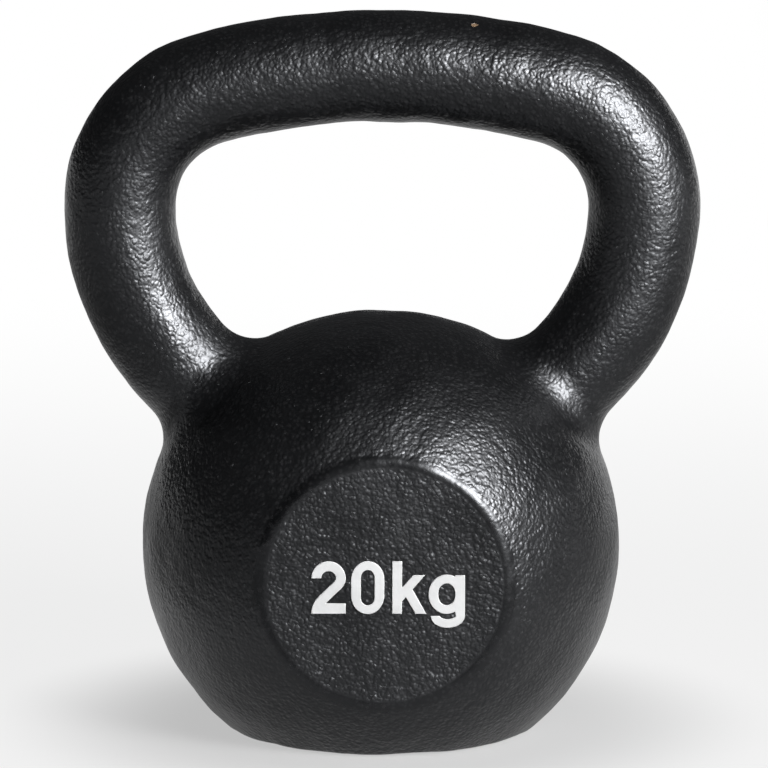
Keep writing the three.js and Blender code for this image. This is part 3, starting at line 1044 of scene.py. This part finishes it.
def buildPad():
    profile = list(pad["dimple"])
    for radius in pad["grooves"]:
        profile += [(radius + aside, high) for aside, high in pad["groove"]]
    profile += [(pad["radius"] - inwards, high) for inwards, high in pad["rim"]]
    profile.append((pad["topRing"], pad["top"]))
    angles = np.arange(pad["segments"]) * 2 * math.pi / pad["segments"]
    rows = [np.stack([out * np.cos(angles), out * np.sin(angles),
                      np.full(len(angles), high - casting["lift"])], axis=1)
            for out, high in profile]
    middles = [[0, 0, pad["dimpleTop"] - casting["lift"]], [0, 0, pad["top"] - casting["lift"]]]
    points = np.concatenate([*rows, middles])
    faces = gridFaces(len(profile), pad["segments"])
    count, total = pad["segments"], len(points)
    last = (len(profile) - 1) * count
    for i in range(count):
        j = (i + 1) % count
        faces.append([j, i, total - 2])
        faces.append([last + i, last + j, total - 1])
    normals = vertexNormals(points, faces)
    if normals[total - 1][2] < 0:
        faces = [face[::-1] for face in faces]
        normals = -normals
    stand(makePiece("rubberPad", points, faces, normals, rubberMaterial()), "base_pad")


buildPad()
steel, fibre = turnedSteelMaterial(), vulcanFibreMaterial()
for node, material in (("trim_plug", steel), ("trim_slug", steel), ("plug_washer", fibre)):
    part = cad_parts[node]
    for materialSlot in part.material_slots:
        materialSlot.material = material
print("pad and trim ready")


# Floor, lights and camera
studio = {
    "floorSize": 14.0,
    "floorColour": (0.48, 0.48, 0.48),
    # The white strip that the bell stands on: half its width and how it widens to the back, how
    # soft its sides are, where its front fades in, and how white it is near and far
    "whiteHalf": (0.155, 0.055),
    "whiteSoft": (1.0, 1.9),
    "whiteFront": (-0.22, -0.09),
    "whiteShare": (0.84, 1.0),
    "whiteReach": (0.15, 0.9),
    # Close round the base the floor is less white: most of the shade there is this patch
    "shadeReach": (0.065, 0.15),
    "shade": 0.6,
    # Far off the floor is pale all round
    "farReach": (0.35, 1.1),
    "farShare": (0.15, 0.95),
    "worldColour": (0.066, 0.067, 0.070),
    "aim": 0.12,  # height that the lamps point at
}
keyLamp = {"turn": 38.5, "rise": 23, "away": 1.5, "size": (0.55, 0.62), "power": 25}
glossLamp = {**keyLamp, "power": 112}  # lights gloss only, so that is over five times as strong
rimLamp = {"turn": 148, "rise": 4, "away": 1.4, "size": (0.5, 0.5), "power": 1.0}


def areaLight(name, settings):
    lamp = bpy.data.lights.new(name, "AREA")
    lamp.shape = "RECTANGLE"
    lamp.size, lamp.size_y = settings["size"]
    lamp.energy = settings["power"]
    turn, rise = math.radians(settings["turn"]), math.radians(settings["rise"])
    level = math.cos(rise)
    way = Vector((math.sin(turn) * level, -math.cos(turn) * level, math.sin(rise)))
    light = bpy.data.objects.new(name, lamp)
    light.location = Vector((0, 0, studio["aim"])) + way * settings["away"]
    light.rotation_euler = way.to_track_quat("Z", "Y").to_euler()
    bpy.context.collection.objects.link(light)
    return light


def floorShare(tree):
    # How far the floor is lifted towards white, from place to place
    place = addNode(tree, "ShaderNodeTexCoord", {}).outputs["Object"]
    x, y, _ = addNode(tree, "ShaderNodeSeparateXYZ", {0: place}).outputs
    half, widening = studio["whiteHalf"]
    reach = mathNode(tree, "MULTIPLY_ADD", mathNode(tree, "MAXIMUM", y, 0.0), widening, half)
    aside = mathNode(tree, "DIVIDE", mathNode(tree, "ABSOLUTE", x), reach)
    white = mathNode(tree, "MULTIPLY", rangeNode(tree, aside, *studio["whiteSoft"], 1.0, 0.0),
                     rangeNode(tree, y, *studio["whiteFront"]))
    share = rangeNode(tree, y, *studio["whiteReach"], *studio["whiteShare"])
    length = addNode(tree, "ShaderNodeVectorMath", {0: place}, operation="LENGTH")
    away = length.outputs["Value"]
    shade = rangeNode(tree, away, *studio["shadeReach"], studio["shade"], 1.0)
    strip = mathNode(tree, "MULTIPLY", mathNode(tree, "MULTIPLY", white, share), shade)
    far = rangeNode(tree, away, *studio["farReach"], *studio["farShare"])
    return mathNode(tree, "MAXIMUM", strip, far)


def buildFloor():
    half = studio["floorSize"] / 2
    mesh = bpy.data.meshes.new("floor")
    corners = [(-half, -half, 0), (half, -half, 0), (half, half, 0), (-half, half, 0)]
    mesh.from_pydata(corners, [], [(0, 1, 2, 3)])
    material, tree, _ = newMaterial("paleFloor")
    tree.nodes.clear()
    # What the camera, gloss and glass see is lifted towards white, and keeps a faint shadow
    path = addNode(tree, "ShaderNodeLightPath", {}).outputs
    seen = mathNode(tree, "MAXIMUM", path["Is Camera Ray"], path["Is Glossy Ray"])
    seen = mathNode(tree, "MAXIMUM", seen, path["Is Transmission Ray"])
    diffuse = addNode(tree, "ShaderNodeBsdfDiffuse", {"Color": (*studio["floorColour"], 1)})
    glow = addNode(tree, "ShaderNodeEmission", {})
    share = mathNode(tree, "MULTIPLY", seen, floorShare(tree))
    inputs = {0: share, 1: diffuse.outputs[0], 2: glow.outputs[0]}
    mix = addNode(tree, "ShaderNodeMixShader", inputs)
    addNode(tree, "ShaderNodeOutputMaterial", {"Surface": mix.outputs[0]})
    mesh.materials.append(material)
    floor = bpy.data.objects.new("floor", mesh)
    bpy.context.collection.objects.link(floor)


def buildWorld():
    world = bpy.data.worlds.new("studioWorld")
    world.use_nodes = True
    colour = world.node_tree.nodes["Background"].inputs["Color"]
    colour.default_value = (*studio["worldColour"], 1)
    bpy.context.scene.world = world


cameraPlace = {
    "turn": 1.01,
    "rise": 10.61,
    "roll": 0.23,
    "away": 2.53,
    "lookAt": (0.00088, 0, 0.12288),
    "lens": 333.4,
    "sensor": 36,
    "clipEnd": 40,
}


def buildCamera():
    turn, rise = math.radians(cameraPlace["turn"]), math.radians(cameraPlace["rise"])
    level = math.cos(rise)
    forward = Vector((math.sin(turn) * level, math.cos(turn) * level, -math.sin(rise)))
    data = bpy.data.cameras.new("camera")
    data.sensor_width = cameraPlace["sensor"]
    data.lens = cameraPlace["lens"]
    data.clip_end = cameraPlace["clipEnd"]
    camera = bpy.data.objects.new("camera", data)
    camera.location = Vector(cameraPlace["lookAt"]) - forward * cameraPlace["away"]
    roll = Quaternion((0, 0, 1), math.radians(cameraPlace["roll"]))
    camera.rotation_euler = (forward.to_track_quat("-Z", "Y") @ roll).to_euler()
    bpy.context.collection.objects.link(camera)
    bpy.context.scene.camera = camera


buildFloor()
buildWorld()
areaLight("keyLight", keyLamp)
areaLight("keyGlossLight", glossLamp).visible_diffuse = False
areaLight("rimLight", rimLamp)
buildCamera()
bpy.context.scene.view_settings.view_transform = "Standard"
print("studio ready")
